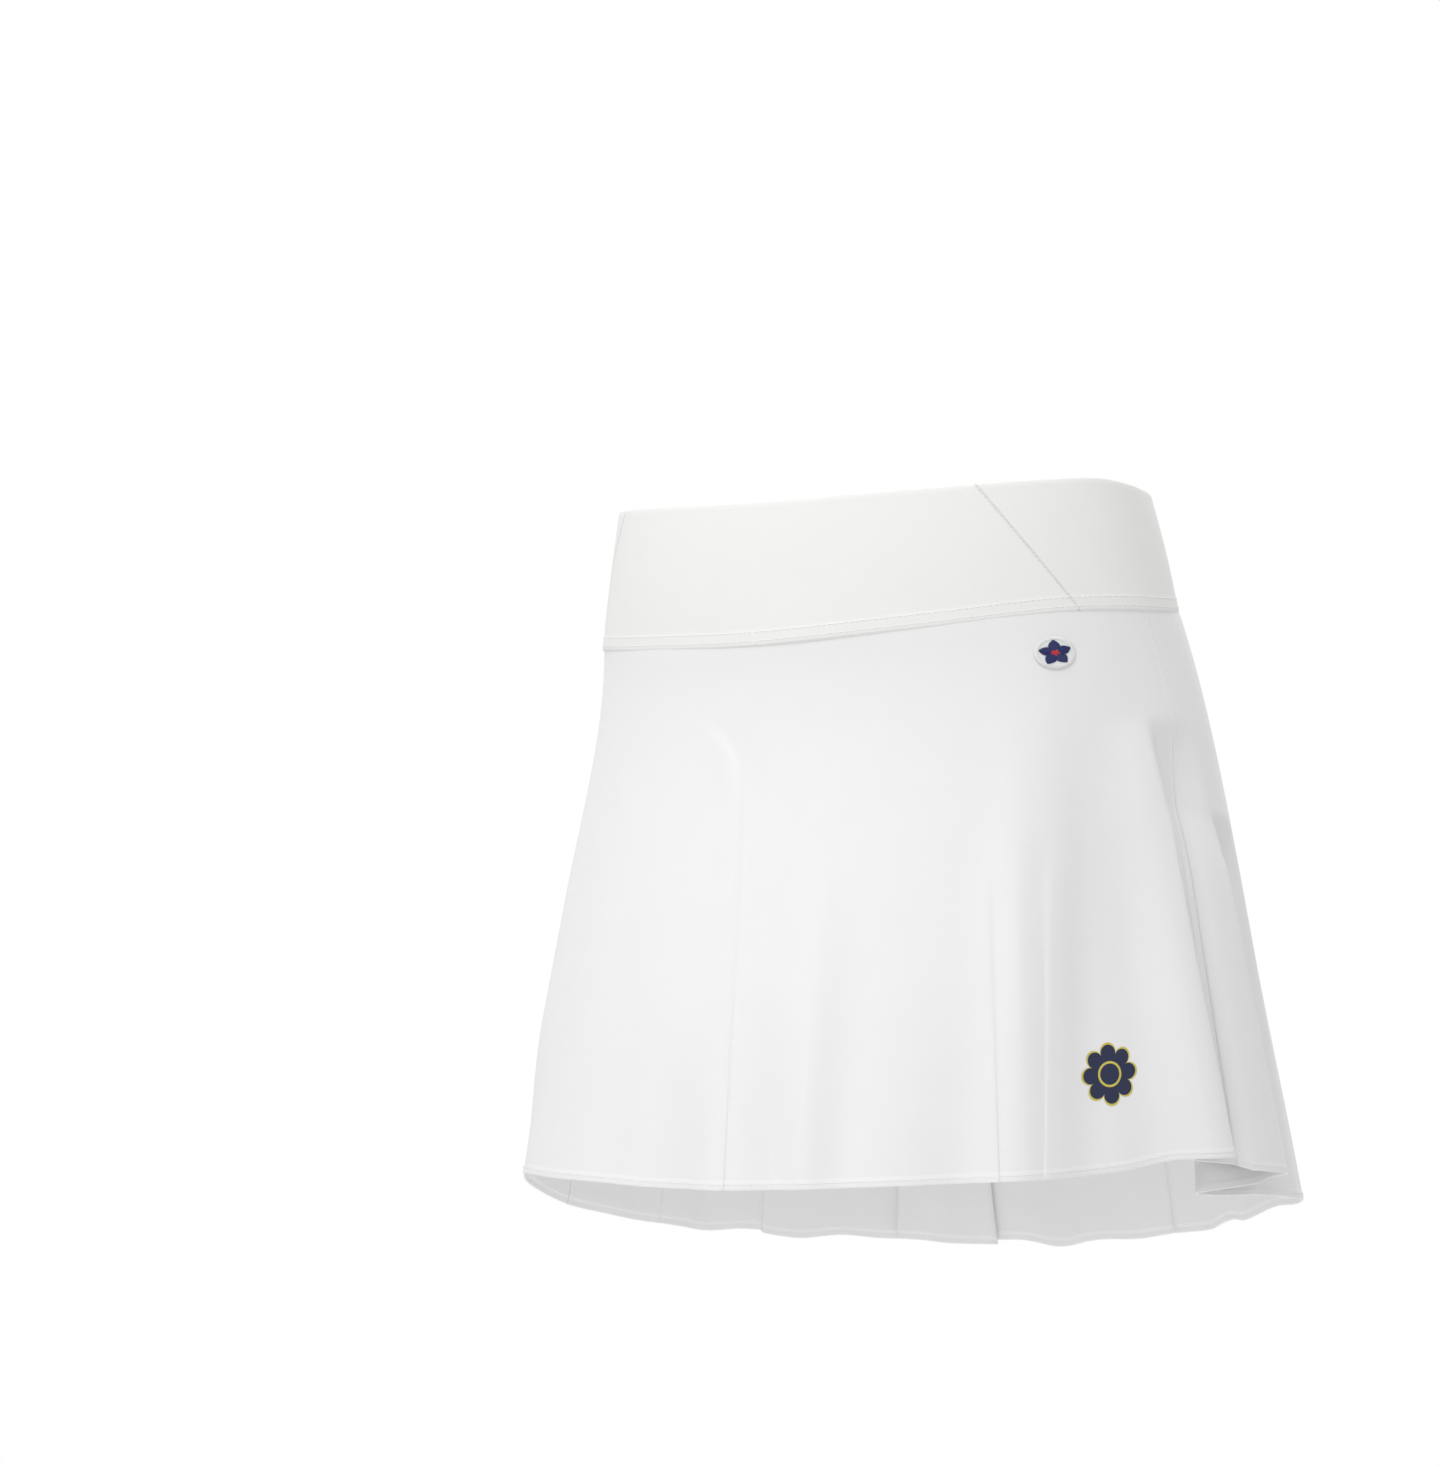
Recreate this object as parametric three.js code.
// Women's sports skort: a wide waistband, a flared skirt with soft pleats that is longer
// behind than in front, and close shorts sewn in at the same waist seam.
// It stands open and hollow, as it is worn. Millimetres and degrees, +Z up.
// The front faces -Y and the wearer's left is +X. The origin is the centre of the waist rim.
// Angles run round the body: 0 centre front, 90 the wearer's left, 180 centre back.
import * as THREE from "three";

// Cloth: a single knit layer for the skirt and the shorts, and a doubled, faced waistband.
const SKIRT_WALL = 1.0;
const SHORTS_WALL = 1.0;
const BAND_WALL = 3.0;
const SEAM_GAP = 0.3;

// The three rings that set the shape: half width, half depth, and how far back the centre sits.
const RIM = { halfWidth: 144, halfDepth: 106, setBack: 0 };
const WAIST_SEAM = { halfWidth: 157, halfDepth: 111, setBack: 4.5 };
const HEM = { halfWidth: 207, halfDepth: 164, setBack: 19.4 };
const BAND_BULGE = 0.6;
// The seat pushes the skirt back within its first third: the set-back nears the hem's this fast.
const SEAT_POWER = 6;

// Heights of the rim, the waist seam and the hem round the body. The waist dips in front,
// and the hem drops from the front panel's level to the longer back.
const LEVELS = [
  { angle: -180, rim: 2.0, seam: -60.0, hem: -375.0 },
  { angle: -150, rim: 1.0, seam: -62.0, hem: -374.5 },
  { angle: -120, rim: 0.0, seam: -66.0, hem: -369.5 },
  { angle: -90, rim: 1.0, seam: -66.0, hem: -356.0 },
  { angle: -60, rim: -0.5, seam: -68.5, hem: -335.0 },
  { angle: -30, rim: -4.0, seam: -73.0, hem: -334.2 },
  { angle: 0, rim: -6.7, seam: -75.0, hem: -336.7 },
  { angle: 30, rim: -4.2, seam: -69.7, hem: -333.0 },
  { angle: 60, rim: 0.7, seam: -61.5, hem: -327.5 },
  { angle: 78, rim: 3.4, seam: -59.0, hem: -320.8 },
  { angle: 92, rim: 2.4, seam: -58.0, hem: -330.5 },
  { angle: 102, rim: 1.3, seam: -57.0, hem: -340.5 },
  { angle: 120, rim: 1.0, seam: -54.5, hem: -345.0 },
  { angle: 150, rim: 2.5, seam: -54.5, hem: -361.5 },
];

// Waistband joins: where each slanting join meets the rim and the waist seam.
const FRONT_JOIN = { rim: 47, seam: 66 };
const BACK_JOIN = { rim: 130, seam: 115 };
const SIDE_SEAM = 86;

// Pleats of the skirt, a row each. `at` and `half` give the strip of cloth that folds, in
// degrees of the waist seam. `over` and `under` are how far the outer and the inner fold
// swing at the hem, in degrees. `proud` is how far the outer layer stands out, `middle`
// where the middle layer lies and `sunk` how far in the inner one lies, in mm. `open` is
// where the pleat starts, as a share of the skirt's length. `top` is 1 where the layer at
// the smaller angle lies outside, and -1 where the other one does.
const PLEATS = [
  { name: "centre_front", at: 0, half: 2.5, over: 2.7, under: 2.7,
    proud: 3.4, middle: 0, sunk: 3.4, open: 0.14, top: 1 },
  { name: "front_left_inner", at: 41, half: 2.4, over: 2.5, under: 2.2,
    proud: 3.2, middle: 0, sunk: 3.2, open: 0.55, top: 1 },
  { name: "front_left", at: 50, half: 3.4, over: 3.7, under: 3.7,
    proud: 3.8, middle: 0, sunk: 3.8, open: 0.4, top: -1 },
  { name: "side_left_first", at: 79, half: 6.5, over: 6.7, under: 5.3,
    proud: 4.5, middle: -1, sunk: 9, open: 0.2, top: 1 },
  { name: "side_left_second", at: 96, half: 7, over: 9, under: 20,
    proud: 4.5, middle: -9.5, sunk: 18, open: 0.36, top: 1 },
  { name: "back_left", at: 162, half: 4, over: 5, under: 5,
    proud: 4.2, middle: 0, sunk: 4.8, open: 0.2, top: 1 },
  { name: "back_right", at: -163.5, half: 4, over: 5.5, under: 5.5,
    proud: 4.5, middle: 0, sunk: 5.5, open: 0.45, top: 1 },
  { name: "back_right_inner", at: -152, half: 2.6, over: 4.2, under: 3.3,
    proud: 4, middle: 0, sunk: 4, open: 0.5, top: -1 },
  { name: "side_right_second", at: -128, half: 4, over: 5, under: 4.5,
    proud: 4, middle: 0, sunk: 4.6, open: 0.35, top: -1 },
  { name: "side_right_first", at: -109, half: 5, over: 6, under: 6,
    proud: 4.6, middle: 0, sunk: 6, open: 0.25, top: -1 },
];
const PLEAT_EASE = 0.6;
// In half strips: a fold changes depth over the flat width before it turns and over the fold
// width once its turn is full. Past its reach a pleat still lifts or sinks the cloth, easing
// off over the shoulder.
const FLAT_WIDTH = 1.3;
const FOLD_WIDTH = 0.5;
const FULL_TURN = 0.3;
const PLEAT_REACH = 0.75;
const PLEAT_SHOULDER = 1.75;

// Soft waves of the hanging cloth, a row each: the angle at the waist seam and at the hem,
// where along the length it starts and is full, its height (out is positive) and half width.
const WAVES = [
  { name: "left_of_the_centre", waist: -8, hem: -6, from: 0.7, full: 1.15, height: -9, spread: 4.5 },
  { name: "beside_the_centre", waist: 5, hem: 9, from: 0.6, full: 1.15, height: -9, spread: 3.5 },
  { name: "centre_roll", waist: 13, hem: 14.8, from: 0.25, full: 0.9, height: 4, spread: 2.7 },
  { name: "centre_dip", waist: 20, hem: 20, from: 0.3, full: 1, height: -2.6, spread: 3.5 },
  { name: "front_fall", waist: 35, hem: 36, from: 0.65, full: 1.15, height: -6, spread: 5 },
  { name: "inner_roll", waist: 47, hem: 44.5, from: 0.1, full: 0.8, height: 6, spread: 4.5 },
  { name: "under_the_hip", waist: 61, hem: 56.5, from: 0.02, full: 0.75, height: -6, spread: 5.5 },
  { name: "hip_hollow", waist: 70, hem: 69.5, from: 0.02, full: 0.7, height: -14, spread: 10.5 },
  { name: "hip_roll", waist: 72, hem: 78, from: 0.1, full: 0.7, height: 4, spread: 4.5 },
  { name: "right_front", waist: -24, hem: -20, from: 0.35, full: 1, height: -2.5, spread: 6 },
  { name: "right_hip", waist: -62, hem: -62, from: 0, full: 0.5, height: 5, spread: 12 },
  { name: "right_hip_hem", waist: -60, hem: -60, from: 0.7, full: 1, height: -5.5, spread: 9 },
  { name: "back_right_fall", waist: -154, hem: -157, from: 0.15, full: 1, height: -8, spread: 5 },
  { name: "back_right_roll", waist: -172, hem: -171, from: 0.1, full: 1, height: 5, spread: 5 },
  { name: "back_left_fall", waist: 174, hem: 176, from: 0.2, full: 1, height: -7, spread: 6 },
  { name: "back_left_roll", waist: 154, hem: 156, from: 0.3, full: 1, height: 4, spread: 4 },
  { name: "back_left_side", waist: 144, hem: 140, from: 0.3, full: 1, height: -7, spread: 6 },
  { name: "left_side_roll", waist: 125, hem: 122, from: 0.4, full: 1, height: 4, spread: 6 },
  { name: "right_side_fall", waist: -136, hem: -138, from: 0.3, full: 1, height: -5, spread: 6 },
  { name: "right_side_roll", waist: -118, hem: -119, from: 0.3, full: 1, height: 5, spread: 5 },
  { name: "right_side_dip", waist: -98, hem: -96, from: 0.3, full: 1, height: -4, spread: 6 },
];

// Sections of one leg of the shorts, level by level: the leg's centre out from the body's
// middle, its half width and half depth, and the set-back. The first row is the waist seam.
const LEG_SECTIONS = [
  { level: 0, centre: 0, halfWidth: 155.5, halfDepth: 109.5, setBack: 4.5 },
  { level: -100, centre: 0, halfWidth: 157.5, halfDepth: 112, setBack: 11 },
  { level: -150, centre: 4, halfWidth: 154.5, halfDepth: 115, setBack: 16.5 },
  { level: -200, centre: 30, halfWidth: 128.5, halfDepth: 115, setBack: 18 },
  { level: -238, centre: 63, halfWidth: 94, halfDepth: 106, setBack: 16 },
  { level: -262, centre: 78, halfWidth: 77.2, halfDepth: 97, setBack: 14 },
  { level: -290, centre: 77.5, halfWidth: 75, halfDepth: 91, setBack: 12 },
  { level: -320, centre: 77, halfWidth: 72, halfDepth: 87, setBack: 10 },
];

// The small embroidered patch on the wearer's left hip: an oval that lies on the skirt.
const PATCH = { angle: 58, below: 20, width: 20, height: 15.4, wall: 1.0, rings: 3, sides: 24 };

// Mesh steps. The waistband and the shorts are smooth. On each side of a pleat's middle the
// columns go from even places where it is flat to close places about the turn, in half strips.
const PANEL_STEP = 6.5;
const FLAT_COLUMNS = [0.15, 0.3, 0.45, 0.65];
const TURN_COLUMNS = [-0.19, -0.06, 0.06, 0.19];
const SKIRT_ROWS = [0, 0.07, 0.15, 0.25, 0.35, 0.45, 0.55, 0.66, 0.77, 0.89, 1];
const BAND_STEP = 8;
const BAND_ROWS = [0, 0.33, 0.67, 1];
const LEG_COLUMNS = 22;

const rad = THREE.MathUtils.degToRad;
const lerp = THREE.MathUtils.lerp;

function wrap(angle) {
  return ((((angle + 180) % 360) + 360) % 360) - 180;
}

// Height of the rim, seam or hem at an angle: a smooth curve through the table's rows.
function heightAt(column, angle) {
  const count = LEVELS.length;
  const a = wrap(angle);
  let row = count - 1;
  while (LEVELS[row].angle > a) row -= 1;
  const place = (k) => {
    const turns = Math.floor(k / count);
    const entry = LEVELS[k - turns * count];
    return [entry.angle + 360 * turns, entry[column]];
  };
  const [[x0, y0], [x1, y1], [x2, y2], [x3, y3]] = [row - 1, row, row + 1, row + 2].map(place);
  const span = x2 - x1;
  const t = (a - x1) / span;
  const startSlope = ((y2 - y0) / (x2 - x0)) * span;
  const endSlope = ((y3 - y1) / (x3 - x1)) * span;
  const cubic = 2 * y1 - 2 * y2 + startSlope + endSlope;
  const square = 3 * (y2 - y1) - 2 * startSlope - endSlope;
  return ((cubic * t + square) * t + startSlope) * t + y1;
}

// A point on an ellipse round the body, moved out by `out` along the ellipse's normal.
function onRing(halfWidth, halfDepth, setBack, angle, z, out) {
  const s = Math.sin(rad(angle));
  const c = Math.cos(rad(angle));
  const normal = new THREE.Vector2(s / halfWidth, -c / halfDepth).normalize();
  return new THREE.Vector3(
    halfWidth * s + out * normal.x,
    setBack - halfDepth * c + out * normal.y,
    z,
  );
}

// The waistband's middle surface: `down` is 0 at the rim and 1 at the waist seam.
function bandPoint(angle, down) {
  const inset = (SKIRT_WALL - BAND_WALL) / 2;
  const bulge = BAND_BULGE * 4 * down * (1 - down);
  const z = lerp(heightAt("rim", angle), heightAt("seam", angle) + SEAM_GAP / 2, down);
  return onRing(
    lerp(RIM.halfWidth, WAIST_SEAM.halfWidth, down),
    lerp(RIM.halfDepth, WAIST_SEAM.halfDepth, down),
    lerp(RIM.setBack, WAIST_SEAM.setBack, down),
    angle,
    z,
    inset + bulge,
  );
}

// How far a pleat has swung open at a share of the skirt's length.
function opened(pleat, down) {
  const t = Math.max(0, (down - pleat.open) / (1 - pleat.open));
  return t ** PLEAT_EASE;
}

// The layers part faster than they swing, so that a pleat is round from its start.
function parted(swung) {
  return 1 - (1 - swung) ** 4;
}

// Where the cloth turns back, in half strips from the pleat's middle: 0 until it folds.
function turnsAt(pleat, swing, swung) {
  const steady = pleat.half / (Math.PI * swing * swung);
  return steady >= 1 ? 0 : Math.acos(steady) / Math.PI;
}

// A smooth step from 0 to 1 at a fold: wide while the pleat is flat, close once it has turned.
function foldStep(q, turn) {
  const half = lerp(FLAT_WIDTH, FOLD_WIDTH, THREE.MathUtils.smoothstep(turn, 0, FULL_TURN)) / 2;
  return THREE.MathUtils.smoothstep(q, -half, half);
}

// How far out a pleat puts its cloth when it is open: the outer layer, a step down at the
// outer fold, the middle layer, a step at the inner fold, the inner layer, and ease outside.
function foldLift(pleat, q, outerTurn, innerTurn) {
  const outerStep = foldStep(q + outerTurn, outerTurn);
  const innerStep = foldStep(q - innerTurn, innerTurn);
  const layers = lerp(lerp(pleat.proud, pleat.middle, outerStep), -pleat.sunk, innerStep);
  const eased = THREE.MathUtils.clamp((Math.abs(q) - PLEAT_REACH) / PLEAT_SHOULDER, 0, 1);
  return layers * Math.cos((Math.PI / 2) * eased) ** 2;
}

// The skirt's middle surface: `cloth` is the angle along the waist seam, `down` 0 to 1.
function skirtPoint(cloth, down) {
  let angle = cloth;
  let out = 0;
  for (const pleat of PLEATS) {
    const q = (pleat.top * wrap(cloth - pleat.at)) / pleat.half;
    const swung = opened(pleat, down);
    if (Math.abs(q) < 1) {
      const swing = q < 0 ? pleat.over : pleat.under;
      angle -= pleat.top * swung * swing * Math.sin(Math.PI * q);
    }
    const outerTurn = turnsAt(pleat, pleat.over, swung);
    const innerTurn = turnsAt(pleat, pleat.under, swung);
    out += parted(swung) * foldLift(pleat, q, outerTurn, innerTurn);
  }
  for (const wave of WAVES) {
    const centre = lerp(wave.waist, wave.hem, down);
    const grown = THREE.MathUtils.smoothstep(down, wave.from, wave.full);
    out += wave.height * grown * Math.exp(-((wrap(angle - centre) / wave.spread) ** 2));
  }
  const seated = 1 - (1 - down) ** SEAT_POWER;
  return onRing(
    lerp(WAIST_SEAM.halfWidth, HEM.halfWidth, down),
    lerp(WAIST_SEAM.halfDepth, HEM.halfDepth, down),
    lerp(WAIST_SEAM.setBack, HEM.setBack, seated),
    angle,
    lerp(heightAt("seam", cloth) - SEAM_GAP / 2, heightAt("hem", cloth), down),
    out,
  );
}

// One leg of the shorts: `round` runs 0 to 1 from the front rise or inseam, over the hip, to
// the back. Above the crotch the section stops at the body's middle, below it closes.
function shortsPoint(side, round, down) {
  const place = down * (LEG_SECTIONS.length - 1);
  const row = Math.min(Math.floor(place), LEG_SECTIONS.length - 2);
  const from = LEG_SECTIONS[row];
  const to = LEG_SECTIONS[row + 1];
  const mix = place - row;
  const centre = lerp(from.centre, to.centre, mix);
  const halfWidth = lerp(from.halfWidth, to.halfWidth, mix);
  const halfDepth = lerp(from.halfDepth, to.halfDepth, mix);
  const share = centre / halfWidth;
  const clear = SEAM_GAP / 2 + (share * SHORTS_WALL) / 2;
  const slit = SEAM_GAP / 2 / halfDepth;
  const start = Math.max(Math.acos(Math.min(1, (centre - clear) / halfWidth)), slit);
  const turn = lerp(start, 2 * Math.PI - start, round);
  const x = centre - halfWidth * Math.cos(turn);
  const y = -halfDepth * Math.sin(turn);
  const angle = side * THREE.MathUtils.radToDeg(Math.atan2(x / halfWidth, -y / halfDepth));
  const top = heightAt("seam", angle) - SEAM_GAP / 2;
  const z = row === 0 ? lerp(top, to.level, mix) : lerp(from.level, to.level, mix);
  return new THREE.Vector3(side * x, lerp(from.setBack, to.setBack, mix) + y, z);
}

// The surface's unit normal, from the points a little to each side within 0 to 1.
function normalAt(surface, u, v, uStep) {
  const vStep = 0.002;
  const along = surface(u + uStep, v).sub(surface(u - uStep, v));
  const down = surface(u, Math.min(1, v + vStep)).sub(surface(u, Math.max(0, v - vStep)));
  return down.cross(along).normalize();
}

// A closed shell of a given wall about a surface, over a grid of columns and rows.
// `columnsAt(v)` gives the columns of a row, so an edge may slant. Down to the share
// `levelTo` the wall is laid on horizontally, which keeps its sewn edge level.
function shell(surface, columnsAt, rows, wall, uStep, levelTo) {
  const across = columnsAt(rows[0]).length;
  const down = rows.length;
  const points = [];
  for (const side of [1, -1]) {
    for (const v of rows) {
      for (const u of columnsAt(v)) {
        const normal = normalAt(surface, u, v, uStep);
        if (v <= levelTo) normal.setZ(0).normalize();
        points.push(surface(u, v).addScaledVector(normal, (side * wall) / 2));
      }
    }
  }
  const layer = across * down;
  const id = (side, r, c) => (side > 0 ? 0 : layer) + r * across + c;
  const faces = [];
  const quad = (a, b, c, d) => faces.push(a, b, c, a, c, d);
  for (let r = 0; r < down - 1; r += 1) {
    for (let c = 0; c < across - 1; c += 1) {
      quad(id(1, r, c), id(1, r + 1, c), id(1, r + 1, c + 1), id(1, r, c + 1));
      quad(id(-1, r, c), id(-1, r, c + 1), id(-1, r + 1, c + 1), id(-1, r + 1, c));
    }
    const last = across - 1;
    quad(id(1, r, 0), id(-1, r, 0), id(-1, r + 1, 0), id(1, r + 1, 0));
    quad(id(1, r, last), id(1, r + 1, last), id(-1, r + 1, last), id(-1, r, last));
  }
  for (let c = 0; c < across - 1; c += 1) {
    const last = down - 1;
    quad(id(1, 0, c), id(1, 0, c + 1), id(-1, 0, c + 1), id(-1, 0, c));
    quad(id(1, last, c), id(-1, last, c), id(-1, last, c + 1), id(1, last, c + 1));
  }
  const geometry = new THREE.BufferGeometry();
  geometry.setAttribute(
    "position",
    new THREE.Float32BufferAttribute(points.flatMap((p) => p.toArray()), 3),
  );
  geometry.setIndex(faces);
  geometry.computeVertexNormals();
  return geometry;
}

// A pleat's own columns in a row of the skirt, which follow its two folds down the cloth.
function pleatColumns(pleat, at, down) {
  const swung = opened(pleat, down);
  const side = (swing) => {
    const turn = turnsAt(pleat, swing, swung);
    const mix = THREE.MathUtils.smoothstep(turn, 0, FULL_TURN);
    return FLAT_COLUMNS.map((flat, k) => lerp(flat, turn + TURN_COLUMNS[k], mix));
  };
  const outer = side(pleat.over).map((q) => -q);
  const places = [-1, ...outer, 0, ...side(pleat.under), 1];
  return places.map((q) => at + pleat.top * q * pleat.half);
}

// Columns of a skirt panel in a row: even steps, and in each pleat its own close columns.
function panelColumns(from, to) {
  const pleated = PLEATS.flatMap((pleat) =>
    [-360, 0, 360].map((turn) => ({ pleat, at: pleat.at + turn })),
  ).filter(({ pleat, at }) => at > from && at < to);
  const inPleat = (u) => pleated.some(({ pleat, at }) => Math.abs(u - at) < pleat.half + 0.9);
  const steps = Math.round((to - from) / PANEL_STEP);
  const even = [];
  for (let k = 1; k < steps; k += 1) {
    const u = lerp(from, to, k / steps);
    if (!inPleat(u)) even.push(u);
  }
  return (down) => {
    const close = pleated.flatMap(({ pleat, at }) => pleatColumns(pleat, at, down));
    return [from, ...even, ...close, to].sort((a, b) => a - b);
  };
}

// Columns of a waistband piece between two slanting joins.
function bandColumns(from, to) {
  const count = Math.ceil((to.rim - from.rim) / BAND_STEP);
  return (v) => {
    const start = lerp(from.rim, from.seam, v);
    const end = lerp(to.rim, to.seam, v);
    return Array.from({ length: count + 1 }, (_, k) => lerp(start, end, k / count));
  };
}

// A join moved round by an angle, for the seam gap.
function shifted(join, by) {
  return { rim: join.rim + by, seam: join.seam + by };
}

function mirrored(join) {
  return { rim: -join.rim, seam: -join.seam };
}

// The angle that spans half a seam's gap on a ring of about the waist's radius.
const HALF_GAP_ANGLE = THREE.MathUtils.radToDeg((0.7 * SEAM_GAP) / WAIST_SEAM.halfDepth);

// The patch: a thin oval plate whose every point is a skirt point moved out.
function patchGeometry() {
  const { angle, below, width, height, wall, rings, sides } = PATCH;
  const perDegree = skirtPoint(angle + 0.5, 0.1).distanceTo(skirtPoint(angle - 0.5, 0.1));
  const length = skirtPoint(angle, 0).distanceTo(skirtPoint(angle, 1));
  const place = (radius, turn, out) => {
    const u = angle + (radius * (width / 2) * Math.cos(turn)) / perDegree;
    const v = (below + radius * (height / 2) * Math.sin(turn)) / length;
    return skirtPoint(u, v).addScaledVector(normalAt(skirtPoint, u, v, 0.02), out);
  };
  const points = [];
  const lift = SKIRT_WALL / 2 + SEAM_GAP;
  for (const out of [lift + wall, lift]) {
    points.push(place(0, 0, out));
    for (let r = 1; r <= rings; r += 1) {
      for (let k = 0; k < sides; k += 1) points.push(place(r / rings, (2 * Math.PI * k) / sides, out));
    }
  }
  const layer = 1 + rings * sides;
  const faces = [];
  for (let k = 0; k < sides; k += 1) {
    const n = (k + 1) % sides;
    faces.push(0, 1 + n, 1 + k, layer, layer + 1 + k, layer + 1 + n);
    for (let r = 1; r < rings; r += 1) {
      const a = 1 + (r - 1) * sides;
      const b = a + sides;
      faces.push(a + k, a + n, b + n, a + k, b + n, b + k);
      faces.push(layer + a + k, layer + b + n, layer + a + n, layer + a + k, layer + b + k, layer + b + n);
    }
    const edge = 1 + (rings - 1) * sides;
    faces.push(edge + k, edge + n, layer + edge + n, edge + k, layer + edge + n, layer + edge + k);
  }
  const geometry = new THREE.BufferGeometry();
  geometry.setAttribute(
    "position",
    new THREE.Float32BufferAttribute(points.flatMap((p) => p.toArray()), 3),
  );
  geometry.setIndex(faces);
  geometry.computeVertexNormals();
  return geometry;
}

function cloth(colour, roughness) {
  return new THREE.MeshStandardMaterial({ color: colour, roughness, metalness: 0 });
}

function named(name, geometry, material) {
  const mesh = new THREE.Mesh(geometry, material);
  mesh.name = name;
  return mesh;
}

const skort = new THREE.Group();

function addBandPiece(name, from, to) {
  const columns = bandColumns(shifted(from, HALF_GAP_ANGLE), shifted(to, -HALF_GAP_ANGLE));
  const geometry = shell(bandPoint, columns, BAND_ROWS, BAND_WALL, 0.02, 1);
  skort.add(named(name, geometry, cloth(0xf3f4ef, 0.75)));
}

addBandPiece("waistband_front", mirrored(FRONT_JOIN), FRONT_JOIN);
addBandPiece("waistband_side_left", FRONT_JOIN, BACK_JOIN);
addBandPiece("waistband_back", BACK_JOIN, shifted(mirrored(BACK_JOIN), 360));
addBandPiece("waistband_side_right", mirrored(BACK_JOIN), mirrored(FRONT_JOIN));

function addSkirtPanel(name, from, to) {
  const columns = panelColumns(from + HALF_GAP_ANGLE, to - HALF_GAP_ANGLE);
  const geometry = shell(skirtPoint, columns, SKIRT_ROWS, SKIRT_WALL, 0.02, 1);
  skort.add(named(name, geometry, cloth(0xf0f0f3, 0.7)));
}

addSkirtPanel("skirt_front", -SIDE_SEAM, SIDE_SEAM);
addSkirtPanel("skirt_back", SIDE_SEAM, 360 - SIDE_SEAM);

for (const [name, side] of [["shorts_left", 1], ["shorts_right", -1]]) {
  const surface = (round, down) => shortsPoint(side, round, down);
  const columns = Array.from({ length: LEG_COLUMNS + 1 }, (_, k) => k / LEG_COLUMNS);
  const rows = LEG_SECTIONS.map((_, k) => k / (LEG_SECTIONS.length - 1));
  const geometry = shell(surface, () => columns, rows, SHORTS_WALL, 0.002, 0);
  skort.add(named(name, geometry, cloth(0xeeeef0, 0.75)));
}

skort.add(named("hip_patch", patchGeometry(), cloth(0x2c3f9e, 0.8)));

export default skort;
